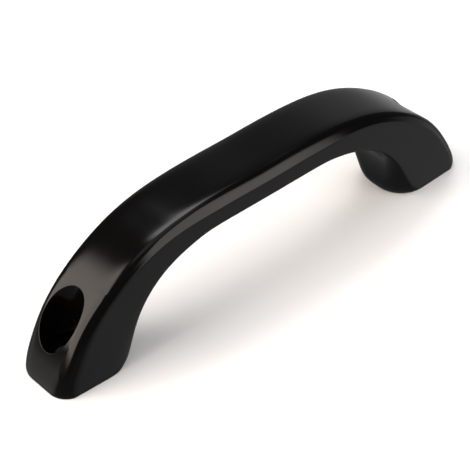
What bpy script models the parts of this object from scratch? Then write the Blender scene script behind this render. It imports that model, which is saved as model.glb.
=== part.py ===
"""Moulded door pull handle: an arched grip on two feet, each foot with a deep screw well.

Metres, +Z up. The handle lies along X and stands with both feet on z = 0, where the door panel is.
The origin is midway between the feet. A glossy shell is cored out under the grip, where a steel bar
is screwed to its roof behind a snap-in cover. Each foot holds a flanged bush and a rubber gasket.
"""

import math

import bmesh
import bpy
import numpy as np
from mathutils import Matrix, Vector

MM = 0.001
GAP = 0.3 * MM                     # clearance between pieces that touch

# Side view of one half, from the foot to the middle of the grip: (x, z) in millimetres
OUTER_LINE = [(-90.0, 0.0), (-89.9, 1.6), (-88.5, 5.6), (-84.7, 13.3),
              (-73.6, 28.1), (-49.3, 43.0), (-22.3, 47.5), (0.0, 47.5)]
INNER_LINE = [(-59.6, 0.0), (-58.7, 2.4), (-57.9, 9.0), (-53.8, 21.2),
              (-43.7, 31.0), (-31.1, 35.2), (-19.9, 36.0), (0.0, 36.0)]

# Plan and section of the shell
HALF_LENGTH = 90.0 * MM
HALF_WIDTH_END = 11.8 * MM         # at the ends of the feet
HALF_WIDTH_SWELL = 1.8 * MM        # how much wider each side is in the middle
SIDE_DRAFT = 0.016                 # the sides lean in as they rise
LEG_EDGE_RADIUS = 3.7 * MM         # rounding between the top face and the sides on the legs
FOOT_CORNER_RADIUS = 7.0 * MM      # the same edge where it reaches the base
GRIP_EDGE_RADIUS = 2.5 * MM        # the same edge on the grip, above the bevel
BEVEL_ANGLE = math.radians(68.0)   # how far the grip's bevel is turned from the top face
BEVEL_WIDTH = 3.1 * MM
FOOT_INNER_RADIUS = 10.8 * MM      # the feet's corners on the side of the finger gap
GRIP_INNER_RADIUS = 2.3 * MM       # the grip's lower edges
STATIONS = 48                      # sections along the arch
ARC_STEPS = 4                      # faces round each rounded edge

# The hollow under the grip and what it holds
ROOF_WALL = 2.8 * MM
SIDE_WALL = 3.8 * MM
CHANNEL_END = 37.0 * MM            # half lengths, from the middle of the grip
REBATE_END = 39.0 * MM
REBATE_DEPTH = 1.9 * MM
REBATE_LEDGE = 1.2 * MM
COVER_THICKNESS = 1.6 * MM
HOOK_X = 20.0 * MM
HOOK_LENGTH = 6.0 * MM
HOOK_THICKNESS = 1.2 * MM
HOOK_RISE = 5.0 * MM
NOSE_REACH = 0.6 * MM              # how far a hook's nose goes into the shell's wall
NOSE_HEIGHT = 1.2 * MM
NOSE_LENGTH = 5.0 * MM
BAR_END = 34.0 * MM
BAR_HALF_WIDTH = 6.5 * MM
BAR_TOP = 41.8 * MM
BAR_THICKNESS = 2.0 * MM
BAR_HOLE_RADIUS = 1.9 * MM
BOSS_RADIUS = 3.2 * MM
SCREW_PLACES = (-30.0 * MM, -10.0 * MM, 10.0 * MM, 30.0 * MM)
SCREW_RADIUS = 1.5 * MM
SCREW_HEAD_RADIUS = 2.8 * MM
SCREW_HEAD_HEIGHT = 1.3 * MM
SCREW_TIP = 45.3 * MM
SCREW_HOLE_TOP = 45.6 * MM

# Feet
WELL_X = 78.0 * MM
WELL_RADIUS = 7.5 * MM
WELL_FLOOR = 7.2 * MM
RECESS_DEPTH = 1.8 * MM
RECESS_RIM = 1.6 * MM
GASKET_THICKNESS = 1.5 * MM
BUSH_RADIUS = 4.5 * MM
BUSH_BORE_RADIUS = 3.25 * MM
FLANGE_RADIUS = 7.0 * MM
FLANGE_THICKNESS = 1.5 * MM
POCKET_X = (62.2 * MM, 68.4 * MM)  # hollow between the well and the finger gap
POCKET_Y = (1.0 * MM, 6.5 * MM)    # either side of a rib
POCKET_TOP = 27.0 * MM


def clear_scene():
    for obj in list(bpy.data.objects):
        bpy.data.objects.remove(obj, do_unlink=True)


def new_collection(name):
    collection = bpy.data.collections.new(name)
    bpy.context.scene.collection.children.link(collection)
    return collection


def new_material(name, colour, roughness, metallic=0.0):
    material = bpy.data.materials.new(name)
    material.use_nodes = True
    shader = material.node_tree.nodes["Principled BSDF"]
    shader.inputs["Base Color"].default_value = (*colour, 1.0)
    shader.inputs["Roughness"].default_value = roughness
    shader.inputs["Metallic"].default_value = metallic
    material.diffuse_color = (*colour, 1.0)
    return material


# The arch ------------------------------------------------------------------------------------------

def spline(half_points):
    """Return a function of v, -1 at the left foot to 1 at the right one, for a smooth mirrored line."""
    left = np.array(half_points)
    points = np.vstack([left, left[-2::-1] * (-1, 1)]) * MM
    count = len(points)
    system = 4.0 * np.eye(count) + np.eye(count, k=1) + np.eye(count, k=-1)
    system[0, 0] = system[-1, -1] = 2.0
    pull = np.zeros_like(points)
    pull[1:-1] = 3.0 * (points[2:] - points[:-2])
    pull[0] = 3.0 * (points[1] - points[0])
    pull[-1] = 3.0 * (points[-1] - points[-2])
    slopes = np.linalg.solve(system, pull)

    def at(v):
        place = (v + 1.0) / 2.0 * (count - 1)
        k = min(max(int(place), 0), count - 2)
        s = place - k
        return ((1 + 2 * s) * (1 - s) ** 2 * points[k] + s * (1 - s) ** 2 * slopes[k]
                + s * s * (3 - 2 * s) * points[k + 1] + s * s * (s - 1) * slopes[k + 1])

    return at


outer_line = spline(OUTER_LINE)
inner_line = spline(INNER_LINE)


def ease(start, end, value):
    s = min(max((value - start) / (end - start), 0.0), 1.0)
    return s * s * (3.0 - 2.0 * s)


def half_width(x, z):
    return HALF_WIDTH_END + HALF_WIDTH_SWELL * (1.0 - (x / HALF_LENGTH) ** 2) - SIDE_DRAFT * z


def station(v):
    """Return the inner point, the unit direction to the outer point, and the thickness there."""
    inner = inner_line(v)
    across = outer_line(v) - inner
    thickness = float(np.hypot(*across))
    return inner, across / thickness, thickness


def place(v, height, side):
    """Return the point at a height above the inner line and a distance to one side."""
    inner, up, _ = station(v)
    x, z = inner + up * height
    return Vector((x, side, z))


def z_at(line, x):
    """Return the height of a line over the middle part of the handle, where x rises with v."""
    low, high = -0.7, 0.7
    for _ in range(40):
        middle = (low + high) / 2.0
        if line(middle)[0] < x:
            low = middle
        else:
            high = middle
    return float(line((low + high) / 2.0)[1])


def underside(x):
    return z_at(inner_line, x)


def roof(x):
    return z_at(outer_line, x) - ROOF_WALL


def shell_section(v, inset=0.0):
    """Return one closed ring of points round the shell at v, moved in by inset."""
    _, _, thickness = station(v)
    rise = 1.0 - abs(v)
    on_grip = ease(0.18, 0.62, rise)
    at_base = 1.0 - ease(0.0, 0.22, rise)
    radius = LEG_EDGE_RADIUS + (GRIP_EDGE_RADIUS - LEG_EDGE_RADIUS) * on_grip
    radius += (FOOT_CORNER_RADIUS - LEG_EDGE_RADIUS) * at_base - inset
    turn = math.pi / 2 + (BEVEL_ANGLE - math.pi / 2) * on_grip
    bevel = BEVEL_WIDTH * on_grip
    low_radius = GRIP_INNER_RADIUS - inset
    low_radius += (FOOT_INNER_RADIUS - GRIP_INNER_RADIUS) * (1.0 - ease(0.0, 0.55, rise))
    top = thickness - inset
    start = radius * math.sin(turn) + bevel * math.cos(turn)
    half = []
    for k in range(ARC_STEPS + 1):
        angle = turn * k / ARC_STEPS
        half.append((radius * math.sin(angle) - start, top - radius * (1.0 - math.cos(angle))))
    half.append((0.0, half[-1][1] - bevel * math.sin(turn)))
    for k in range(ARC_STEPS + 1):
        angle = math.pi / 2 * k / ARC_STEPS
        half.append((-low_radius * (1.0 - math.cos(angle)), inset + low_radius * (1.0 - math.sin(angle))))
    ring = []
    for step_in, height in half:
        point = place(v, height, 0.0)
        point.y = half_width(point.x, point.z) + step_in - inset
        ring.append(point)
    mirrored = [Vector((p.x, -p.y, p.z)) for p in reversed(ring)]
    return ring + mirrored


# Mesh helpers --------------------------------------------------------------------------------------

def mesh_object(name, mesh, collection, material=None):
    obj = bpy.data.objects.new(name, mesh)
    collection.objects.link(obj)
    if material:
        mesh.materials.append(material)
    return obj


def loft(name, rings, collection, material=None):
    """Join closed rings of equal size into one closed solid."""
    bm = bmesh.new()
    levels = [[bm.verts.new(point) for point in ring] for ring in rings]
    for before, after in zip(levels[:-1], levels[1:]):
        for k in range(len(before)):
            nxt = (k + 1) % len(before)
            bm.faces.new((before[k], before[nxt], after[nxt], after[k]))
    bm.faces.new(reversed(levels[0]))
    bm.faces.new(levels[-1])
    bmesh.ops.remove_doubles(bm, verts=bm.verts, dist=1e-6)
    bmesh.ops.dissolve_degenerate(bm, dist=1e-6, edges=bm.edges)
    bmesh.ops.recalc_face_normals(bm, faces=bm.faces)
    mesh = bpy.data.meshes.new(name)
    bm.to_mesh(mesh)
    bm.free()
    return mesh_object(name, mesh, collection, material)


def along(start, end, count):
    return [start + (end - start) * k / count for k in range(count + 1)]


def strip(name, end, low, high, half, collection, material=None, steps=16):
    """Make a bar of upright rectangular sections; low, high and half are functions of x."""
    rings = []
    for x in along(-end, end, steps):
        corners = ((half(x), high(x)), (half(x), low(x)), (-half(x), low(x)), (-half(x), high(x)))
        rings.append([Vector((x, y, z)) for y, z in corners])
    return loft(name, rings, collection, material)


def cylinder(name, radius, low, high, x, collection, segments=24):
    """Make an upright cylinder on the middle plane, from height low to high."""
    mesh = bpy.data.meshes.new(name)
    bm = bmesh.new()
    bmesh.ops.create_cone(bm, cap_ends=True, segments=segments, radius1=radius, radius2=radius,
                          depth=high - low)
    bm.to_mesh(mesh)
    bm.free()
    obj = mesh_object(name, mesh, collection)
    obj.location = (x, 0.0, (low + high) / 2.0)
    return obj


def block(name, low, high, collection):
    mesh = bpy.data.meshes.new(name)
    bm = bmesh.new()
    size = [b - a for a, b in zip(low, high)]
    middle = [(a + b) / 2.0 for a, b in zip(low, high)]
    bmesh.ops.create_cube(bm, size=1.0, matrix=Matrix.Translation(middle) @ Matrix.Diagonal((*size, 1.0)))
    bm.to_mesh(mesh)
    bm.free()
    return mesh_object(name, mesh, collection)


def turned(name, profile, x, collection, material, segments=32):
    """Revolve a profile of (radius, z) points, closed unless it starts and ends on the axis."""
    mesh = bpy.data.meshes.new(name)
    points = [(radius, 0.0, z) for radius, z in profile]
    edges = [(k, k + 1) for k in range(len(points) - 1)]
    if profile[0][0] > 0.0:
        edges.append((len(points) - 1, 0))
    mesh.from_pydata(points, edges, [])
    obj = mesh_object(name, mesh, collection, material)
    obj.location = (x, 0.0, 0.0)
    screw = obj.modifiers.new("turn", "SCREW")
    screw.steps = segments
    screw.render_steps = segments
    screw.use_merge_vertices = True
    screw.merge_threshold = 1e-5
    return obj


def mesh_from_curve(curve, z, collection, material):
    """Turn a flat, extruded outline into a welded solid centred on height z."""
    source = bpy.data.objects.new(curve.name + "_outline", curve)
    collection.objects.link(source)
    source.location = (0.0, 0.0, z)
    bpy.context.view_layer.update()
    graph = bpy.context.evaluated_depsgraph_get()
    mesh = bpy.data.meshes.new_from_object(source.evaluated_get(graph))
    mesh.name = curve.name
    bm = bmesh.new()
    bm.from_mesh(mesh)
    bmesh.ops.remove_doubles(bm, verts=bm.verts, dist=1e-6)
    bm.to_mesh(mesh)
    bm.free()
    solid = mesh_object(curve.name, mesh, collection, material)
    solid.matrix_world = source.matrix_world.copy()
    bpy.data.objects.remove(source, do_unlink=True)
    return solid


def boolean(obj, operation, tools):
    for tool in tools:
        modifier = obj.modifiers.new(operation.lower() + "_" + tool.name, "BOOLEAN")
        modifier.operation = operation
        modifier.solver = "EXACT"
        modifier.object = tool
        tool.hide_render = True
        tool.display_type = "WIRE"


def smooth(obj, degrees=30.0):
    obj.data.shade_smooth()
    obj.data.set_sharp_from_angle(angle=math.radians(degrees))


# Sub-parts -----------------------------------------------------------------------------------------

def channel_half(x):
    return half_width(x, underside(x)) - SIDE_WALL


def rebate_half(x):
    return channel_half(x) + REBATE_LEDGE


def make_channel(cutters):
    hollow = strip("cut_channel", CHANNEL_END, lambda x: underside(x) - 2.0 * MM, roof, channel_half, cutters)
    rebate = strip("cut_rebate", REBATE_END, lambda x: underside(x) - 2.0 * MM,
                   lambda x: underside(x) + REBATE_DEPTH, rebate_half, cutters)
    return [hollow, rebate]


def hook_places():
    return [(x, side) for x in (-HOOK_X, HOOK_X) for side in (-1, 1)]


def nose_box(x, side, grow):
    """Return the low and high corners of a hook's nose, grown for the catch that takes it."""
    root = channel_half(x) - GAP - HOOK_THICKNESS / 2
    tip = channel_half(x) + NOSE_REACH + grow
    across = sorted((side * root, side * tip))
    half = NOSE_LENGTH / 2 + grow
    top = underside(x) + HOOK_RISE - 0.4 * MM
    return (x - half, across[0], top - NOSE_HEIGHT - grow), (x + half, across[1], top + grow)


def make_foot_cutters(side, cutters):
    label = "left" if side < 0 else "right"
    x = side * WELL_X
    cuts = [cylinder("cut_well_" + label, WELL_RADIUS, WELL_FLOOR, 60.0 * MM, x, cutters, segments=48),
            cylinder("cut_bush_" + label, BUSH_RADIUS + GAP, -2.0 * MM, 9.0 * MM, x, cutters)]
    cuts.append(foot_plate("cut_recess_" + label, side, RECESS_RIM, -2.0 * MM, RECESS_DEPTH, cutters))
    for y_side in (-1, 1):
        xs = sorted(side * x for x in POCKET_X)
        ys = sorted(y_side * y for y in POCKET_Y)
        name = "cut_pocket_" + label + ("_back" if y_side > 0 else "_front")
        cuts.append(block(name, (xs[0], ys[0], -2.0 * MM), (xs[1], ys[1], POCKET_TOP), cutters))
    return cuts


def foot_plate(name, side, inset, low, high, collection, material=None):
    """Make a flat plate with the outline of a foot's base, moved in by inset."""
    outline = shell_section(float(side), inset)
    rings = [[Vector((p.x, p.y, z)) for p in outline] for z in (low, high)]
    return loft(name, rings, collection, material)


def make_shell(parts, cutters, material):
    rings = [shell_section(v) for v in along(-1.0, 1.0, STATIONS)]
    shell = loft("handle_shell", rings, parts, material)
    boolean(shell, "DIFFERENCE", make_channel(cutters))
    bosses = []
    holes = []
    for number, x in enumerate(SCREW_PLACES, 1):
        face = BAR_TOP + GAP
        bosses.append(cylinder(f"join_boss_{number}", BOSS_RADIUS, face, roof(x) + 1.0 * MM, x, cutters))
        holes.append(cylinder(f"cut_boss_{number}", SCREW_RADIUS + GAP, face - 1.0 * MM,
                              SCREW_HOLE_TOP, x, cutters, segments=16))
    boolean(shell, "UNION", bosses)
    boolean(shell, "DIFFERENCE", holes)
    catches = []
    for number, (x, side) in enumerate(hook_places(), 1):
        low, high = nose_box(x, side, GAP)
        catches.append(block(f"cut_catch_{number}", low, high, cutters))
    boolean(shell, "DIFFERENCE", catches)
    for side in (-1, 1):
        boolean(shell, "DIFFERENCE", make_foot_cutters(side, cutters))
    smooth(shell)


def make_cover(parts, cutters, material):
    cover = strip("grip_cover", REBATE_END - GAP, underside, lambda x: underside(x) + COVER_THICKNESS,
                  lambda x: rebate_half(x) - GAP, parts, material)
    joins = []
    for number, (x, side) in enumerate(hook_places(), 1):
        outside = channel_half(x) - GAP
        across = sorted((side * outside, side * (outside - HOOK_THICKNESS)))
        low = (x - HOOK_LENGTH / 2, across[0], underside(x) + COVER_THICKNESS / 2)
        high = (x + HOOK_LENGTH / 2, across[1], underside(x) + HOOK_RISE)
        joins.append(block(f"join_stem_{number}", low, high, cutters))
        low, high = nose_box(x, side, 0.0)
        joins.append(block(f"join_nose_{number}", low, high, cutters))
    boolean(cover, "UNION", joins)
    smooth(cover)


def make_bar(parts, cutters, material):
    """Make the flat steel bar, with round ends and a hole for each screw."""
    outline = bpy.data.curves.new("stiffener_bar", "CURVE")
    outline.dimensions = "2D"
    outline.fill_mode = "BOTH"
    outline.extrude = BAR_THICKNESS / 2
    spline_line = outline.splines.new("POLY")
    corners = []
    for side in (1, -1):
        centre = side * (BAR_END - BAR_HALF_WIDTH)
        reach = side * BAR_HALF_WIDTH
        for angle in along(-math.pi / 2, math.pi / 2, 8):
            corners.append((centre + reach * math.cos(angle), reach * math.sin(angle)))
    spline_line.points.add(len(corners) - 1)
    for point, (x, y) in zip(spline_line.points, corners):
        point.co = (x, y, 0.0, 1.0)
    spline_line.use_cyclic_u = True
    bar = mesh_from_curve(outline, BAR_TOP - BAR_THICKNESS / 2, parts, material)
    holes = []
    for number, x in enumerate(SCREW_PLACES, 1):
        holes.append(cylinder(f"cut_bar_{number}", BAR_HOLE_RADIUS, BAR_TOP - 4.0 * MM, BAR_TOP + 2.0 * MM,
                              x, cutters, segments=16))
    boolean(bar, "DIFFERENCE", holes)
    smooth(bar)


def make_bar_screw(number, x, parts, material):
    """Make a pan-head screw that points up into its boss."""
    head_top = BAR_TOP - BAR_THICKNESS - GAP
    head_low = head_top - SCREW_HEAD_HEIGHT
    socket = SCREW_HEAD_RADIUS * 0.36
    profile = [(0.0, SCREW_TIP), (SCREW_RADIUS * 0.55, SCREW_TIP), (SCREW_RADIUS, SCREW_TIP - 1.0 * MM),
               (SCREW_RADIUS, head_top), (SCREW_HEAD_RADIUS, head_top),
               (SCREW_HEAD_RADIUS, head_low + 0.5 * MM), (SCREW_HEAD_RADIUS * 0.8, head_low),
               (socket, head_low), (socket, head_low + 0.7 * MM), (0.0, head_low + 0.7 * MM)]
    screw = turned(f"bar_screw_{number}", profile, x, parts, material, segments=20)
    smooth(screw)


def make_bush(side, parts, material):
    label = "left" if side < 0 else "right"
    profile = [(BUSH_BORE_RADIUS, WELL_FLOOR), (BUSH_RADIUS, WELL_FLOOR),
               (BUSH_RADIUS, FLANGE_THICKNESS), (FLANGE_RADIUS, FLANGE_THICKNESS),
               (FLANGE_RADIUS, 0.0), (BUSH_BORE_RADIUS, 0.0)]
    bush = turned("bush_" + label, profile, side * WELL_X, parts, material)
    smooth(bush)


def make_gasket(side, parts, cutters, material):
    label = "left" if side < 0 else "right"
    gasket = foot_plate("gasket_" + label, side, RECESS_RIM + GAP, 0.0, GASKET_THICKNESS, parts, material)
    hole = cylinder("cut_gasket_" + label, FLANGE_RADIUS + GAP, -2.0 * MM, 5.0 * MM,
                    side * WELL_X, cutters, segments=32)
    boolean(gasket, "DIFFERENCE", [hole])
    smooth(gasket)


def main():
    clear_scene()
    parts = new_collection("door_pull_handle")
    cutters = new_collection("cutters")
    gloss_black = new_material("gloss_black", (0.012, 0.011, 0.012), 0.22)
    satin_black = new_material("satin_black", (0.018, 0.018, 0.019), 0.45)
    zinc_steel = new_material("zinc_steel", (0.56, 0.56, 0.55), 0.35, 1.0)
    bare_steel = new_material("bare_steel", (0.40, 0.41, 0.43), 0.45, 1.0)
    rubber = new_material("rubber", (0.025, 0.025, 0.025), 0.85)
    make_shell(parts, cutters, gloss_black)
    make_cover(parts, cutters, satin_black)
    make_bar(parts, cutters, bare_steel)
    for number, x in enumerate(SCREW_PLACES, 1):
        make_bar_screw(number, x, parts, zinc_steel)
    for side in (-1, 1):
        make_bush(side, parts, zinc_steel)
        make_gasket(side, parts, cutters, rubber)


main()
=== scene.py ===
import math

import bpy
import numpy as np
from mathutils import Matrix, Vector


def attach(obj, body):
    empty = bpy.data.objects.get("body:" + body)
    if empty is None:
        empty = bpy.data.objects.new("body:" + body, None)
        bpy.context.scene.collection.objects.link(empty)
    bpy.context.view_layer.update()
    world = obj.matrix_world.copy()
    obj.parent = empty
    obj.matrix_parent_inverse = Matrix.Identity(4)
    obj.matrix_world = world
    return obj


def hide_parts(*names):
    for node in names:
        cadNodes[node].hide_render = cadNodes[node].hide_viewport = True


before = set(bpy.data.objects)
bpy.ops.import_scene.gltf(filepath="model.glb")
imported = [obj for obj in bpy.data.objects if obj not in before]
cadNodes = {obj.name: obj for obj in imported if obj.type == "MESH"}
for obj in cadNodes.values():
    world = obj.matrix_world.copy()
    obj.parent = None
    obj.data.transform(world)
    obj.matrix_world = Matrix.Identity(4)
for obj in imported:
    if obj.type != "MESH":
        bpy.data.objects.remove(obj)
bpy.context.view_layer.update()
mm = 0.001
softAngle = 38  # degrees; edges sharper than this stay sharp in the shading
through = 2.0 * mm  # how far below the base a cutting tool starts
print("frame loaded,", len(cadNodes), "nodes")


# small helpers

def deselectAll():
    if bpy.context.mode != "OBJECT":
        bpy.ops.object.mode_set(mode="OBJECT")
    bpy.ops.object.select_all(action="DESELECT")


def makeActive(piece):
    deselectAll()
    piece.select_set(True)
    bpy.context.view_layer.objects.active = piece


def selectParts(piece, mode, test):
    # selects the verts, edges or faces whose place passes the test, and stays in edit mode
    makeActive(piece)
    bpy.ops.object.mode_set(mode="EDIT")
    bpy.ops.mesh.select_mode(type=mode)
    bpy.ops.mesh.select_all(action="DESELECT")
    bpy.ops.object.mode_set(mode="OBJECT")
    mesh = piece.data
    for part in {"VERT": mesh.vertices, "EDGE": mesh.edges, "FACE": mesh.polygons}[mode]:
        ends = [part.co] if mode == "VERT" else [mesh.vertices[k].co for k in part.vertices]
        part.select = bool(test(ends))
    bpy.ops.object.mode_set(mode="EDIT")


def leaveEdit():
    bpy.ops.object.mode_set(mode="OBJECT")


def moveSelected(piece, mover):
    # copies the selected loop and moves each new vertex with mover
    bpy.ops.mesh.extrude_region_move(TRANSFORM_OT_translate={"value": (0.0, 0.0, 0.0)})
    leaveEdit()
    for vertex in piece.data.vertices:
        if vertex.select:
            vertex.co = mover(vertex.co)
    bpy.ops.object.mode_set(mode="EDIT")


def bevelEdges(piece, width, segments, test):
    selectParts(piece, "EDGE", test)
    bpy.ops.mesh.bevel(offset=width, segments=segments, affect="EDGES", clamp_overlap=True)
    leaveEdit()


def roundAllEdges(piece, width, segments=2, degrees=40):
    makeActive(piece)
    modifier = piece.modifiers.new("roundedEdges", "BEVEL")
    modifier.width = width
    modifier.segments = segments
    modifier.limit_method = "ANGLE"
    modifier.angle_limit = math.radians(degrees)
    bpy.ops.object.modifier_apply(modifier=modifier.name)


def combine(piece, tools, operation="DIFFERENCE"):
    # one Boolean per tool, applied, and the tool removed
    for tool in tools:
        modifier = piece.modifiers.new("combine", "BOOLEAN")
        modifier.operation = operation
        modifier.solver = "EXACT"
        modifier.object = tool
        makeActive(piece)
        bpy.ops.object.modifier_apply(modifier=modifier.name)
        bpy.data.objects.remove(tool, do_unlink=True)


def smoothByAngle(piece):
    makeActive(piece)
    bpy.ops.object.shade_smooth_by_angle(angle=math.radians(softAngle))


def addCylinder(name, radius, low, high, x, vertices=48):
    deselectAll()
    bpy.ops.mesh.primitive_cylinder_add(vertices=vertices, radius=radius, depth=high - low,
                                        location=(x, 0.0, (low + high) / 2.0))
    cylinder = bpy.context.active_object
    cylinder.name = cylinder.data.name = name
    bpy.ops.object.transform_apply(location=True, rotation=True, scale=True)
    return cylinder


def addBox(name, low, high):
    deselectAll()
    middle = [(a + b) / 2.0 for a, b in zip(low, high)]
    bpy.ops.mesh.primitive_cube_add(size=1.0, location=middle)
    box = bpy.context.active_object
    box.name = box.data.name = name
    box.scale = [b - a for a, b in zip(low, high)]
    bpy.ops.object.transform_apply(location=True, rotation=True, scale=True)
    return box


def finishPiece(piece, material, node):
    piece.data.materials.clear()
    piece.data.materials.append(material)
    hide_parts(node)
    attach(piece, "root")


# the arch: its side view as points in millimetres, its plan and section in metres

arch = {
    "outer": [(-90.0, 0.0), (-89.9, 1.6), (-88.5, 5.6), (-84.7, 13.3),
              (-73.6, 28.1), (-49.3, 43.0), (-22.3, 47.5), (0.0, 47.5)],
    "inner": [(-59.6, 0.0), (-58.7, 2.4), (-57.9, 9.0), (-53.8, 21.2),
              (-43.7, 31.0), (-31.1, 35.2), (-19.9, 36.0), (0.0, 36.0)],
    "halfLength": 90.0 * mm,
    "halfWidthAtEnds": 11.8 * mm,
    "swell": 1.8 * mm,           # extra half width in the middle
    "draft": 0.016,              # half width lost for each unit of height
    "legEdge": 5.4 * mm,         # rounding of the long edges on the legs
    "footEdge": 7.0 * mm,        # and where they reach the base
    "gripEdge": 2.5 * mm,        # and on the grip, above the bevel
    "bevelTurn": math.radians(68.0),
    "bevelWidth": 2.8 * mm,
    "leastBevel": 0.5 * mm,
    "footInnerEdge": 10.8 * mm,  # rounding on the side of the fingers
    "gripInnerEdge": 2.3 * mm,
    "creaseSoftness": 0.28 * mm,
    "crown": math.radians(5.0),  # how far the top face has turned where its edge rounding starts
    "crownPower": 7,             # 2 is an even crown, more keeps the middle flatter
    "gripStarts": (0.18, 0.62),  # share of the way from foot to middle where the leg turns into grip
    "baseEnds": 0.22,            # and up to where the foot's own rounding fades
    "innerEdgeEnds": 0.55,
}
rings = {"flat": 6, "edge": 8, "bevel": 4, "crease": 3, "side": 7, "innerEdge": 7, "under": 5}


def mirroredSpline(halfPoints):
    left = np.array(halfPoints)
    points = np.vstack([left, left[-2::-1] * (-1, 1)]) * mm
    count = len(points)
    system = 4.0 * np.eye(count) + np.eye(count, k=1) + np.eye(count, k=-1)
    system[0, 0] = system[-1, -1] = 2.0
    pull = np.zeros_like(points)
    pull[1:-1] = 3.0 * (points[2:] - points[:-2])
    pull[0] = 3.0 * (points[1] - points[0])
    pull[-1] = 3.0 * (points[-1] - points[-2])
    slopes = np.linalg.solve(system, pull)

    def at(v):
        place = (v + 1.0) / 2.0 * (count - 1)
        k = min(max(int(place), 0), count - 2)
        s = place - k
        return ((1 + 2 * s) * (1 - s) ** 2 * points[k] + s * (1 - s) ** 2 * slopes[k]
                + s * s * (3 - 2 * s) * points[k + 1] + s * s * (s - 1) * slopes[k + 1])

    return at


outerLine = mirroredSpline(arch["outer"])
innerLine = mirroredSpline(arch["inner"])


def ease(start, end, value):
    s = min(max((value - start) / (end - start), 0.0), 1.0)
    return s * s * (3.0 - 2.0 * s)


def halfWidth(x, z):
    farOut = x / arch["halfLength"]
    return arch["halfWidthAtEnds"] + arch["swell"] * (1.0 - farOut ** 2) - arch["draft"] * z


def stationAt(v):
    inner = innerLine(v)
    across = outerLine(v) - inner
    thickness = float(np.hypot(*across))
    return inner, across / thickness, thickness


def sectionShape(v, inset=0.0):
    # the radii and widths of the section at v, -1 at the left foot and 1 at the right one
    rise = 1.0 - abs(v)
    onGrip = ease(*arch["gripStarts"], rise)
    atBase = 1.0 - ease(0.0, arch["baseEnds"], rise)
    inner, up, thickness = stationAt(v)
    radius = arch["legEdge"] + (arch["gripEdge"] - arch["legEdge"]) * onGrip
    radius += (arch["footEdge"] - arch["legEdge"]) * atBase - inset
    atFoot = 1.0 - ease(0.0, arch["innerEdgeEnds"], rise)
    lowRadius = arch["gripInnerEdge"] + (arch["footInnerEdge"] - arch["gripInnerEdge"]) * atFoot - inset
    shape = {"inner": inner, "up": up, "top": thickness - inset, "radius": radius, "lowRadius": lowRadius,
             "turn": arch["bevelTurn"],
             "bevel": max(arch["bevelWidth"] * onGrip, arch["leastBevel"]),
             "crown": arch["crown"] * (1.0 - atBase)}
    shape["edgeWidth"] = radius * (math.sin(shape["turn"]) - math.sin(shape["crown"]))
    shape["edgeWidth"] += shape["bevel"] * math.cos(shape["turn"])
    shape["flatHalf"] = halfWidth(*(inner + up * shape["top"])) - shape["edgeWidth"] - inset
    shape["crownDrop"] = shape["flatHalf"] * math.tan(shape["crown"]) / arch["crownPower"]
    return shape


def steps(start, end, count):
    return [start + (end - start) * k / count for k in range(1, count + 1)]


def halfOutline(v, inset=0.0):
    # from the middle of the top down to the middle of the underside, as (kind, across, height);
    # across is from the middle for "y", and from the side wall for "side"
    shape = sectionShape(v, inset)
    radius, turn, bevel, lowRadius = (shape[key] for key in ("radius", "turn", "bevel", "lowRadius"))
    crown, flatHalf = shape["crown"], shape["flatHalf"]
    outline = [("y", y, shape["top"] - shape["crownDrop"] * (y / flatHalf) ** arch["crownPower"])
               for y in [0.0] + steps(0.0, flatHalf, rings["flat"])[:-1]]
    edgeTop = shape["top"] - shape["crownDrop"]
    for angle in [crown] + steps(crown, turn, rings["edge"]):
        outline.append(("side", radius * (math.sin(angle) - math.sin(crown)) - shape["edgeWidth"] - inset,
                        edgeTop - radius * (math.cos(crown) - math.cos(angle))))
    edgeEnd = outline[-1]
    slant = (math.cos(turn), -math.sin(turn))
    corner = (-inset, edgeEnd[2] - bevel * math.sin(turn))
    soft = arch["creaseSoftness"]
    for run in steps(0.0, bevel - soft, rings["bevel"]):
        outline.append(("side", edgeEnd[1] + run * slant[0], edgeEnd[2] + run * slant[1]))
    before = outline[-1][1:]
    after = (-inset, corner[1] - soft)
    for s in steps(0.0, 1.0, rings["crease"]):
        point = [(1 - s) ** 2 * b + 2 * s * (1 - s) * c + s * s * a
                 for b, c, a in zip(before, corner, after)]
        outline.append(("side", *point))
    for high in steps(after[1], inset + lowRadius, rings["side"]):
        outline.append(("side", -inset, high))
    for angle in steps(0.0, math.pi / 2, rings["innerEdge"]):
        outline.append(("side", -lowRadius * (1.0 - math.cos(angle)) - inset,
                        inset + lowRadius * (1.0 - math.sin(angle))))
    lowHalf = halfWidth(*shape["inner"]) - lowRadius - inset
    outline += [("y", y, inset) for y in steps(lowHalf, 0.0, rings["under"])]
    return outline


def ringPoints(v, inset=0.0):
    # the whole ring, from the middle of the top round the +Y side
    inner, up, _ = stationAt(v)
    half = []
    for kind, across, high in halfOutline(v, inset):
        x, z = inner + up * high
        y = across if kind == "y" else halfWidth(x, z) + across
        half.append(Vector((x, y, z)))
    return half + [Vector((p.x, -p.y, p.z)) for p in reversed(half[1:-1])]


ringCount = len(ringPoints(0.0))


def topSurface(x, y):
    # the point of the outer surface above (x, y), on the left leg
    low, high = -1.0, 0.0
    for _ in range(36):
        v = (low + high) / 2.0
        shape = sectionShape(v)
        radius, crown = shape["radius"], shape["crown"]
        drop = 0.0
        for _ in range(4):
            px, pz = shape["inner"] + shape["up"] * (shape["top"] - drop)
            flatHalf = halfWidth(px, pz) - shape["edgeWidth"]
            if abs(y) < flatHalf:
                drop = shape["crownDrop"] * (y / flatHalf) ** arch["crownPower"]
            else:
                lean = min(math.sin(crown) + (abs(y) - flatHalf) / radius, 0.999)
                drop = shape["crownDrop"] + radius * (math.cos(crown) - math.sqrt(1.0 - lean * lean))
        point = shape["inner"] + shape["up"] * (shape["top"] - drop)
        if point[0] < x:
            low = v
        else:
            high = v
    return Vector((x, y, point[1]))


# the moulded shell

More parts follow.
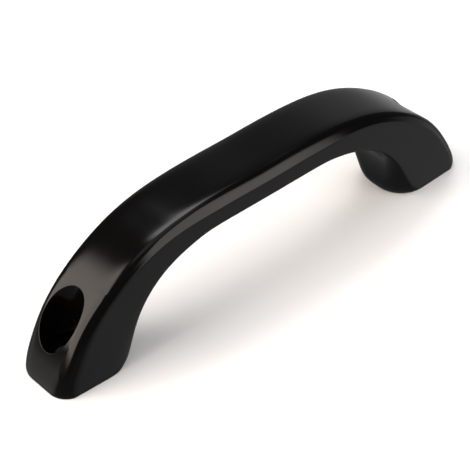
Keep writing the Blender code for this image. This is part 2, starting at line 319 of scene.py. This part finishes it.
moulding = {
    "rowCuts": (11, 11),          # the tube is cut into rows, and each of them is cut again
    "patchEdge": 5,               # how far round the top edge the patch about the well reaches
    "patchEnds": (-88.3 * mm, -67.0 * mm),
    "collarLoops": 8,
    "baseRounding": 0.4 * mm,
}
well = {
    "x": 78.0 * mm,
    "radius": 7.45 * mm,
    "floor": 7.2 * mm,
    "mouth": {"x": 79.14 * mm, "y": 0.86 * mm, "outward": 6.37 * mm, "inward": 8.61 * mm,
              "across": 7.82 * mm, "lean": 0.53 * mm},
    "lip": 0.35 * mm,
    "lipSegments": 4,
    "falls": (0.25, 0.6, 1.0),         # the loops down the wall, as shares of the depth
    "floorRings": (7.0 * mm, 6.0 * mm),
}
rows = (moulding["rowCuts"][0] + 1) * (moulding["rowCuts"][1] + 1)


def mouthPoint(side, x, y):
    # the point of the well's mouth in the direction of (x, y) from its middle
    mouth = well["mouth"]
    angle = math.atan2(y - mouth["y"], side * x - mouth["x"])
    for _ in range(3):
        reach = mouth["outward"] if math.cos(angle) > 0.0 else mouth["inward"]
        guess = (reach * math.cos(angle),
                 mouth["across"] * math.sin(angle) + mouth["lean"] * math.cos(angle))
        miss = math.atan2(guess[1], guess[0]) - math.atan2(y - mouth["y"], side * x - mouth["x"])
        angle -= math.atan2(math.sin(miss), math.cos(miss))
    return side * (mouth["x"] + guess[0]), mouth["y"] + guess[1]


def tubeAlongArch():
    # a tall cylinder, cut into rows, with the patches for the wells left out, bent onto the arch
    deselectAll()
    bpy.ops.mesh.primitive_cylinder_add(vertices=ringCount, radius=1.0, depth=2.0, end_fill_type="NGON")
    tube = bpy.context.active_object
    tube.name = tube.data.name = "mouldedShell"
    for cuts in moulding["rowCuts"]:
        selectParts(tube, "EDGE", lambda ends: abs(ends[0].z - ends[1].z) > 1e-5)
        bpy.ops.mesh.subdivide(number_cuts=cuts)
        leaveEdit()
    leftRows = [-1.0 + 2.0 * k / rows for k in range(rows // 2)]
    outerEnd, innerEnd = moulding["patchEnds"]
    inPatchRows = [row for row in leftRows if outerEnd < outerLine(row)[0] < innerEnd]
    first, last = inPatchRows[0] - 1e-4, inPatchRows[-1] + 1e-4
    widest = 2.0 * math.pi * (rings["flat"] + moulding["patchEdge"] + 0.1) / ringCount

    def inPatch(ends):
        rowsInside = all(first < -abs(end.z) < last for end in ends)
        return rowsInside and all(abs(math.atan2(end.x, end.y)) < widest for end in ends)

    selectParts(tube, "FACE", inPatch)
    bpy.ops.mesh.delete(type="FACE")
    leaveEdit()
    known = {}
    for vertex in tube.data.vertices:
        row = round((vertex.co.z + 1.0) / 2.0 * rows)
        if row not in known:
            known[row] = ringPoints(-1.0 + 2.0 * row / rows)
        turn = math.atan2(vertex.co.x, vertex.co.y) / (2.0 * math.pi)
        vertex.co = known[row][round(turn * ringCount) % ringCount]
    return tube


def openWell(shell, side):
    # closes the patch in to the mouth loop by loop, and runs the mouth down to the floor
    makeActive(shell)
    bpy.ops.object.mode_set(mode="EDIT")
    bpy.ops.mesh.select_mode(type="EDGE")
    bpy.ops.mesh.select_all(action="DESELECT")
    bpy.ops.mesh.select_non_manifold(extend=False, use_wire=False, use_boundary=True,
                                     use_multi_face=False, use_non_contiguous=False, use_verts=False)
    leaveEdit()
    for edge in shell.data.edges:
        if edge.select and side * shell.data.vertices[edge.vertices[0]].co.x < 0.0:
            edge.select = False
            for index in edge.vertices:
                shell.data.vertices[index].select = False
    bpy.ops.object.mode_set(mode="EDIT")

    def onSurface(x, y):
        return Vector((x, y, topSurface(-abs(x), y).z))

    for number in range(moulding["collarLoops"]):
        share = 1.0 / (moulding["collarLoops"] - number)

        def closeIn(co):
            x, y = mouthPoint(side, co.x, co.y)
            return onSurface(co.x + (x - co.x) * share, co.y + (y - co.y) * share)

        moveSelected(shell, closeIn)
    leaveEdit()
    mouthPlaces = {tuple(round(c, 7) for c in vertex.co) for vertex in shell.data.vertices if vertex.select}
    bpy.ops.object.mode_set(mode="EDIT")
    centre = Vector((side * well["x"], 0.0))
    for fall in well["falls"]:

        def goDown(co):
            x, y = mouthPoint(side, co.x, co.y)
            mouth = onSurface(x, y)
            flat = (Vector((x, y)) - centre).normalized() * well["radius"] + centre
            x, y = mouth.x + (flat.x - mouth.x) * fall, mouth.y + (flat.y - mouth.y) * fall
            return Vector((x, y, mouth.z + (well["floor"] - mouth.z) * fall))

        moveSelected(shell, goDown)
    for radius in well["floorRings"]:

        def acrossFloor(co):
            flat = (Vector((co.x, co.y)) - centre).normalized() * radius + centre
            return Vector((flat.x, flat.y, well["floor"]))

        moveSelected(shell, acrossFloor)
    bpy.ops.mesh.edge_face_add()
    leaveEdit()
    bevelEdges(shell, well["lip"], well["lipSegments"],
               lambda ends: all(tuple(round(c, 7) for c in end) in mouthPlaces for end in ends))


shell = tubeAlongArch()
for side in (-1, 1):
    openWell(shell, side)
bevelEdges(shell, moulding["baseRounding"], 3, lambda ends: all(end.z < 1e-6 for end in ends))
makeActive(shell)
bpy.ops.object.mode_set(mode="EDIT")
bpy.ops.mesh.select_all(action="SELECT")
bpy.ops.mesh.normals_make_consistent(inside=False)
leaveEdit()
print("outer skin and wells made,", len(shell.data.polygons), "faces")


# the hollow under the grip, and the feet

hollow = {
    "roofWall": 2.8 * mm, "sideWall": 3.8 * mm, "channelEnd": 37.0 * mm,
    "rebateEnd": 39.0 * mm, "rebateDepth": 1.9 * mm, "ledge": 1.2 * mm,
    "bossX": (-30.0 * mm, -10.0 * mm, 10.0 * mm, 30.0 * mm), "bossRadius": 3.2 * mm,
    "bossFace": 42.1 * mm, "holeRadius": 1.8 * mm, "holeTop": 45.6 * mm, "roofRounding": 1.0 * mm,
}
hooks = {
    "x": 20.0 * mm, "length": 6.0 * mm, "thickness": 1.2 * mm, "rise": 5.0 * mm,
    "noseReach": 0.6 * mm, "noseHeight": 1.2 * mm, "noseLength": 5.0 * mm, "noseDrop": 0.4 * mm,
    "gap": 0.3 * mm,
}
foot = {
    "recessDepth": 1.8 * mm, "recessRim": 1.6 * mm,
    "pocketX": (62.2 * mm, 68.4 * mm), "pocketY": (1.0 * mm, 6.5 * mm), "pocketTop": 27.0 * mm,
    "pocketCorner": 0.8 * mm, "bushHole": 4.8 * mm, "bushHoleTop": 9.0 * mm,
}


def heightOf(line, x):
    low, high = -0.7, 0.7
    for _ in range(40):
        middle = (low + high) / 2.0
        if line(middle)[0] < x:
            low = middle
        else:
            high = middle
    return float(line((low + high) / 2.0)[1])


def underside(x):
    return heightOf(innerLine, x)


def roof(x):
    return heightOf(outerLine, x) - hollow["roofWall"]


def channelHalf(x):
    return halfWidth(x, underside(x)) - hollow["sideWall"]


def rebateHalf(x):
    return channelHalf(x) + hollow["ledge"]


def archedBar(name, end, low, high, half, cuts=31):
    # a box cut into upright slices, each moved to the heights and width at its x
    deselectAll()
    bpy.ops.mesh.primitive_cube_add(size=2.0)
    bar = bpy.context.active_object
    bar.name = bar.data.name = name
    selectParts(bar, "EDGE", lambda ends: abs(ends[0].x - ends[1].x) > 1.0)
    bpy.ops.mesh.subdivide(number_cuts=cuts)
    leaveEdit()
    for vertex in bar.data.vertices:
        x = vertex.co.x * end
        z = high(x) if vertex.co.z > 0.0 else low(x)
        vertex.co = (x, half(x) * vertex.co.y, z)
    return bar


def footPlate(name, side, inset, low, high):
    # a flat plate with the outline of a foot's base, moved in by the inset
    plate = addCylinder(name, 1.0, low, high, 0.0, vertices=ringCount)
    outline = ringPoints(float(side), inset)
    for vertex in plate.data.vertices:
        turn = math.atan2(vertex.co.x, vertex.co.y) / (2.0 * math.pi)
        point = outline[round(turn * ringCount) % ringCount]
        vertex.co.x, vertex.co.y = point.x, point.y
    makeActive(plate)
    bpy.ops.object.mode_set(mode="EDIT")
    bpy.ops.mesh.select_all(action="SELECT")
    bpy.ops.mesh.remove_doubles(threshold=1e-6)
    bpy.ops.mesh.normals_make_consistent(inside=False)
    leaveEdit()
    return plate


def hookPlaces():
    return [(x, side) for x in (-hooks["x"], hooks["x"]) for side in (-1, 1)]


def noseCorners(x, side, grow):
    root = channelHalf(x) - hooks["gap"] - hooks["thickness"] / 2.0
    tip = channelHalf(x) + hooks["noseReach"] + grow
    across = sorted((side * root, side * tip))
    half = hooks["noseLength"] / 2.0 + grow
    top = underside(x) + hooks["rise"] - hooks["noseDrop"]
    return (x - half, across[0], top - hooks["noseHeight"] - grow), (x + half, across[1], top + grow)


channel = archedBar("channelTool", hollow["channelEnd"], lambda x: underside(x) - through,
                    roof, channelHalf)
bevelEdges(channel, hollow["roofRounding"], 3,
           lambda ends: all(abs(end.z - roof(end.x)) < 1e-6 for end in ends)
           and abs(ends[0].y - ends[1].y) < 1.0 * mm)
rebate = archedBar("rebateTool", hollow["rebateEnd"], lambda x: underside(x) - through,
                   lambda x: underside(x) + hollow["rebateDepth"], rebateHalf)
combine(shell, [channel, rebate])
combine(shell, [addCylinder("boss", hollow["bossRadius"], hollow["bossFace"], roof(x) + 1.0 * mm, x)
                for x in hollow["bossX"]], "UNION")
combine(shell, [addCylinder("bossHole", hollow["holeRadius"], hollow["bossFace"] - 1.0 * mm,
                            hollow["holeTop"], x, 32) for x in hollow["bossX"]])
combine(shell, [addBox("catch", *noseCorners(x, side, hooks["gap"])) for x, side in hookPlaces()])
for side in (-1, 1):
    combine(shell, [footPlate("recessTool", side, foot["recessRim"], -through, foot["recessDepth"]),
                    addCylinder("bushHole", foot["bushHole"], -through, foot["bushHoleTop"],
                                side * well["x"], 64)])
    for half in (-1, 1):
        xs = sorted(side * x for x in foot["pocketX"])
        ys = sorted(half * y for y in foot["pocketY"])
        pocket = addBox("pocketTool", (xs[0], ys[0], -through), (xs[1], ys[1], foot["pocketTop"]))
        bevelEdges(pocket, foot["pocketCorner"], 3, lambda ends: ends[0].z > 0.0 or ends[1].z > 0.0)
        combine(shell, [pocket])
smoothByAngle(shell)
print("shell cored out,", len(shell.data.polygons), "faces")


# the snap-in cover under the grip

coverFacts = {"thickness": 1.6 * mm, "gap": 0.3 * mm, "edge": 0.35 * mm, "hookEdge": 0.15 * mm}
cover = archedBar("snapInCover", hollow["rebateEnd"] - coverFacts["gap"], underside,
                  lambda x: underside(x) + coverFacts["thickness"],
                  lambda x: rebateHalf(x) - coverFacts["gap"])
bevelEdges(cover, coverFacts["edge"], 3,
           lambda ends: all(abs(end.z - underside(end.x)) < 1e-6 for end in ends)
           and (abs(ends[0].y - ends[1].y) < 1.0 * mm or abs(ends[0].x) > hollow["channelEnd"]))
hookParts = []
for x, side in hookPlaces():
    outside = channelHalf(x) - coverFacts["gap"]
    across = sorted((side * outside, side * (outside - hooks["thickness"])))
    foothold = underside(x) + coverFacts["thickness"] / 2.0
    stem = addBox("hookStem", (x - hooks["length"] / 2.0, across[0], foothold),
                  (x + hooks["length"] / 2.0, across[1], underside(x) + hooks["rise"]))
    hookParts += [stem, addBox("hookNose", *noseCorners(x, side, 0.0))]
for part in hookParts:
    roundAllEdges(part, coverFacts["hookEdge"])
combine(cover, hookParts, "UNION")
smoothByAngle(cover)
print("cover made")


# flanged bushes and gaskets in the feet

bushFacts = {"bore": 3.25 * mm, "radius": 4.5 * mm, "flange": 7.0 * mm, "flangeHeight": 1.5 * mm,
             "top": 7.2 * mm, "chamfer": 0.3 * mm}
gasketFacts = {"thickness": 1.5 * mm, "gap": 0.3 * mm, "edge": 0.25 * mm, "hole": 7.3 * mm}


def makeBush(side, label):
    x = side * well["x"]
    bush = addCylinder("flangedBush_" + label, bushFacts["flange"], 0.0, bushFacts["flangeHeight"], x, 64)
    selectParts(bush, "FACE", lambda ends: all(end.z > 1.0 * mm for end in ends))
    bpy.ops.mesh.inset(thickness=bushFacts["flange"] - bushFacts["radius"])
    bpy.ops.mesh.extrude_region_move(
        TRANSFORM_OT_translate={"value": (0.0, 0.0, bushFacts["top"] - bushFacts["flangeHeight"])})
    leaveEdit()
    combine(bush, [addCylinder("bore", bushFacts["bore"], -through, 12.0 * mm, x, 64)])
    roundAllEdges(bush, bushFacts["chamfer"], 2)
    smoothByAngle(bush)
    return bush


def makeGasket(side, label):
    gasket = footPlate("footGasket_" + label, side, foot["recessRim"] + gasketFacts["gap"],
                       0.0, gasketFacts["thickness"])
    combine(gasket, [addCylinder("hole", gasketFacts["hole"], -through, 4.0 * mm, side * well["x"], 64)])
    roundAllEdges(gasket, gasketFacts["edge"], 2)
    smoothByAngle(gasket)
    return gasket


bushes = {label: makeBush(side, label) for side, label in ((-1, "left"), (1, "right"))}
gaskets = {label: makeGasket(side, label) for side, label in ((-1, "left"), (1, "right"))}
print("bushes and gaskets made")


# finishes; cloud and marks are the scale and detail of a noise, and how it is stretched

finishes = {
    "polishedBlackMoulding": {
        "colour": (0.0016, 0.0014, 0.0014), "specular": 0.25, "metallic": 0.0, "roughness": (0.10, 0.15),
        "cloud": (55.0, 6.0), "marks": (260.0, 2.0), "markStrength": 0.5, "markHeight": 0.004 * mm,
    },
    "grainedBlackMoulding": {
        "colour": (0.008, 0.008, 0.0085), "specular": 0.35, "metallic": 0.0, "roughness": (0.42, 0.52),
        "cloud": (70.0, 4.0), "marks": (2600.0, 2.0), "markStrength": 0.6, "markHeight": 0.03 * mm,
    },
    "zincPlatedSteel": {
        "colour": (0.60, 0.60, 0.58), "dull": (0.42, 0.43, 0.44), "specular": 0.5, "metallic": 1.0,
        "roughness": (0.26, 0.42), "cloud": (420.0, 5.0), "marks": (5200.0, 1.0, (0.05, 0.05, 1.0)),
        "markStrength": 0.4, "markHeight": 0.01 * mm,
    },
    "blackenedSteel": {
        "colour": (0.17, 0.17, 0.18), "dull": (0.09, 0.09, 0.10), "specular": 0.5, "metallic": 1.0,
        "roughness": (0.36, 0.50), "cloud": (420.0, 5.0), "marks": (5200.0, 1.0, (0.05, 0.05, 1.0)),
        "markStrength": 0.4, "markHeight": 0.01 * mm,
    },
    "rolledSteel": {
        "colour": (0.40, 0.41, 0.42), "dull": (0.20, 0.20, 0.21), "specular": 0.5, "metallic": 1.0,
        "roughness": (0.34, 0.52), "cloud": (900.0, 6.0, (0.03, 1.0, 1.0)),
        "marks": (900.0, 6.0, (0.03, 1.0, 1.0)), "markStrength": 0.3, "markHeight": 0.01 * mm,
    },
    "softRubber": {
        "colour": (0.012, 0.012, 0.012), "specular": 0.3, "metallic": 0.0, "roughness": (0.74, 0.9),
        "cloud": (160.0, 4.0), "marks": (3000.0, 3.0), "markStrength": 0.5, "markHeight": 0.02 * mm,
    },
}


def newMaterial(name, colour, specular, metallic):
    material = bpy.data.materials.new(name)
    material.use_nodes = True
    shader = material.node_tree.nodes["Principled BSDF"]
    shader.inputs["Base Color"].default_value = (*colour, 1.0)
    shader.inputs["Specular IOR Level"].default_value = specular
    shader.inputs["Metallic"].default_value = metallic
    return material, material.node_tree.nodes, material.node_tree.links, shader


def addNoise(nodes, links, scale, detail, stretch=(1.0, 1.0, 1.0)):
    place = nodes.new("ShaderNodeTexCoord")
    mapping = nodes.new("ShaderNodeMapping")
    mapping.inputs["Scale"].default_value = stretch
    noise = nodes.new("ShaderNodeTexNoise")
    noise.inputs["Scale"].default_value = scale
    noise.inputs["Detail"].default_value = detail
    links.new(place.outputs["Object"], mapping.inputs["Vector"])
    links.new(mapping.outputs["Vector"], noise.inputs["Vector"])
    return noise.outputs["Fac"]


def spreadTo(nodes, links, value, low, high):
    # most of a noise lies between 0.3 and 0.7
    spread = nodes.new("ShaderNodeMapRange")
    spread.inputs["From Min"].default_value = 0.3
    spread.inputs["From Max"].default_value = 0.7
    spread.inputs["To Min"].default_value = low
    spread.inputs["To Max"].default_value = high
    links.new(value, spread.inputs["Value"])
    return spread.outputs["Result"]


def addBump(nodes, links, shader, height, strength, distance):
    bump = nodes.new("ShaderNodeBump")
    bump.inputs["Strength"].default_value = strength
    bump.inputs["Distance"].default_value = distance
    links.new(height, bump.inputs["Height"])
    links.new(bump.outputs["Normal"], shader.inputs["Normal"])


def makeFinish(name):
    # cloud varies the roughness, and a metal's colour too; marks make the relief
    facts = finishes[name]
    material, nodes, links, shader = newMaterial(name, facts["colour"], facts["specular"], facts["metallic"])
    cloud = addNoise(nodes, links, *facts["cloud"])
    if "dull" in facts:
        mix = nodes.new("ShaderNodeMix")
        mix.data_type = "RGBA"
        mix.inputs["A"].default_value = (*facts["dull"], 1.0)
        mix.inputs["B"].default_value = (*facts["colour"], 1.0)
        links.new(spreadTo(nodes, links, cloud, 0.0, 1.0), mix.inputs["Factor"])
        links.new(mix.outputs["Result"], shader.inputs["Base Color"])
    links.new(spreadTo(nodes, links, cloud, *facts["roughness"]), shader.inputs["Roughness"])
    marks = addNoise(nodes, links, *facts["marks"])
    addBump(nodes, links, shader, marks, facts["markStrength"], facts["markHeight"])
    return material


black, grained, zinc, darkSteel, steel, rubber = (makeFinish(name) for name in finishes)
finishPiece(shell, black, "handle_shell")
finishPiece(cover, grained, "grip_cover")
for label in ("left", "right"):
    finishPiece(bushes[label], darkSteel, "bush_" + label)
    finishPiece(gaskets[label], rubber, "gasket_" + label)
carried = {"stiffener_bar": steel, **{f"bar_screw_{number}": zinc for number in range(1, 5)}}
for name, material in carried.items():
    cadNodes[name].data.materials.clear()
    cadNodes[name].data.materials.append(material)
print("finishes on")


# floor, lights and camera

studio = {
    "floorSize": 6.0,
    "floorColour": (0.86, 0.86, 0.86), "floorRoughness": 0.9,
    "ceiling": {"height": 1.0, "size": 1.5, "radiance": 1.1},
}
# what the polished surfaces see round them, in degrees: azimuth from +Y towards +X, then elevation
surroundings = {
    "upper": 0.075, "lower": 0.18, "horizon": (-15.0, -2.0),
    "panels": {
        # name: azimuth, elevation, softness of their edges, light
        "backLeftWindow": ((262, 327), (3, 56), (5, 4), (5.0, 4.4, 4.0)),
        "frontCard": ((146, 180), (-6, 52), (4, 4), (3.4, 3.2, 3.05)),
        "highBackCard": ((-5, 20), (55.4, 70), (8, 1.3), (5.6, 5.6, 5.7)),
        "highRightCard": ((20, 47), (51.8, 70), (8, 1.3), (5.6, 5.6, 5.7)),
        "tableRight": ((92, 155), (-50, 0), (4, 5), (0.37, 0.36, 0.36)),
        "tableLeft": ((298, 332), (-35, -5), (10, 3), (0.64, 0.62, 0.60)),
        "backRight": ((8, 58), (-41, 36), (10, 12), (0.40, 0.40, 0.40)),
    },
    "overhead": {"from": (64.0, 70.0), "light": (0.7, 0.7, 0.7)},
}
cameraView = {"azimuth": -38.636, "elevation": 40.527, "roll": -3.115, "distance": 0.702,
              "target": (-0.00611, 0.0, 0.01516), "lens": 158.84, "sensor": 36.0, "nearest": 0.01}


def addCeiling():
    # wide and soft, for the floor only
    facts = studio["ceiling"]
    light = bpy.data.lights.new("wideCeiling", "AREA")
    light.size = facts["size"]
    light.energy = facts["radiance"] * math.pi * facts["size"] ** 2
    ceiling = bpy.data.objects.new("wideCeiling", light)
    bpy.context.scene.collection.objects.link(ceiling)
    ceiling.location = (0.0, 0.0, facts["height"])
    ceiling.visible_glossy = False


def addFloor():
    deselectAll()
    bpy.ops.mesh.primitive_plane_add(size=studio["floorSize"])
    floor = bpy.context.active_object
    floor.name = "studioFloor"
    material, _, _, shader = newMaterial("paleFloor", studio["floorColour"], 0.0, 0.0)
    shader.inputs["Roughness"].default_value = studio["floorRoughness"]
    floor.data.materials.append(material)
    floor.visible_glossy = False


def addCamera():
    azimuth = math.radians(cameraView["azimuth"])
    elevation = math.radians(cameraView["elevation"])
    back = Vector((math.sin(azimuth) * math.cos(elevation), -math.cos(azimuth) * math.cos(elevation),
                   math.sin(elevation)))
    right = (-back).cross(Vector((0.0, 0.0, 1.0))).normalized()
    up = right.cross(-back)
    roll = math.radians(cameraView["roll"])
    turnedRight = right * math.cos(roll) + up * math.sin(roll)
    turnedUp = up * math.cos(roll) - right * math.sin(roll)
    camera = bpy.data.objects.new("studioCamera", bpy.data.cameras.new("studioCamera"))
    bpy.context.scene.collection.objects.link(camera)
    camera.data.lens = cameraView["lens"]
    camera.data.sensor_width = cameraView["sensor"]
    camera.data.clip_start = cameraView["nearest"]
    turn = Matrix((turnedRight, turnedUp, back)).transposed().to_4x4()
    stand = Vector(cameraView["target"]) + back * cameraView["distance"]
    camera.matrix_world = Matrix.Translation(stand) @ turn
    bpy.context.scene.camera = camera


def addSurroundings():
    # a world of soft panels, for the reflections and for most of the light on the floor
    world = bpy.data.worlds.new("softPanels")
    world.use_nodes = True
    nodes, links = world.node_tree.nodes, world.node_tree.links

    def maths(operation, first, second=None, third=None):
        node = nodes.new("ShaderNodeMath")
        node.operation = operation
        for socket, value in zip(node.inputs, (first, second, third)):
            if value is None:
                continue
            if isinstance(value, (int, float)):
                socket.default_value = value
            else:
                links.new(value, socket)
        return node.outputs[0]

    def softStep(value, start, end):
        step = nodes.new("ShaderNodeMapRange")
        step.interpolation_type = "SMOOTHSTEP"
        step.inputs["From Min"].default_value = start
        step.inputs["From Max"].default_value = end
        links.new(value, step.inputs["Value"])
        return step.outputs["Result"]

    def band(value, low, high, soft):
        inside = maths("ABSOLUTE", maths("SUBTRACT", value, (low + high) / 2.0))
        half = (high - low) / 2.0
        return maths("SUBTRACT", 1.0, softStep(inside, half - soft, half + soft))

    def addLight(total, mask, light):
        scaled = nodes.new("ShaderNodeVectorMath")
        scaled.operation = "SCALE"
        scaled.inputs[0].default_value = light
        links.new(mask, scaled.inputs["Scale"])
        added = nodes.new("ShaderNodeVectorMath")
        added.operation = "ADD"
        links.new(total, added.inputs[0])
        links.new(scaled.outputs["Vector"], added.inputs[1])
        return added.outputs["Vector"]

    place = nodes.new("ShaderNodeTexCoord")
    axes = nodes.new("ShaderNodeSeparateXYZ")
    links.new(place.outputs["Generated"], axes.inputs["Vector"])
    azimuth = maths("DEGREES", maths("ARCTAN2", axes.outputs["X"], axes.outputs["Y"]))
    elevation = maths("DEGREES", maths("ARCSINE", axes.outputs["Z"]))
    level = maths("COSINE", maths("RADIANS", elevation))
    above = softStep(elevation, *surroundings["horizon"])
    grey = maths("ADD", maths("MULTIPLY", above, surroundings["upper"] - surroundings["lower"]),
                 surroundings["lower"])
    total = nodes.new("ShaderNodeCombineXYZ")
    for socket in total.inputs:
        links.new(grey, socket)
    total = total.outputs["Vector"]
    total = addLight(total, softStep(elevation, *surroundings["overhead"]["from"]),
                     surroundings["overhead"]["light"])
    for (start, end), elevations, (softSides, softEnds), light in surroundings["panels"].values():
        turned = maths("WRAP", maths("SUBTRACT", azimuth, (start + end) / 2.0), 180.0, -180.0)
        ahead = maths("MULTIPLY", level, maths("COSINE", maths("RADIANS", turned)))
        lifted = maths("DEGREES", maths("ARCTAN2", axes.outputs["Z"], ahead))
        half = (end - start) / 2.0
        mask = maths("MULTIPLY", band(turned, -half, half, softSides),
                     band(lifted, *elevations, softEnds))
        total = addLight(total, mask, light)
    links.new(total, nodes["Background"].inputs["Color"])
    bpy.context.scene.world = world


addFloor()
addCeiling()
addSurroundings()
addCamera()
bpy.context.scene.view_settings.view_transform = "Standard"
print("floor, light and camera placed")
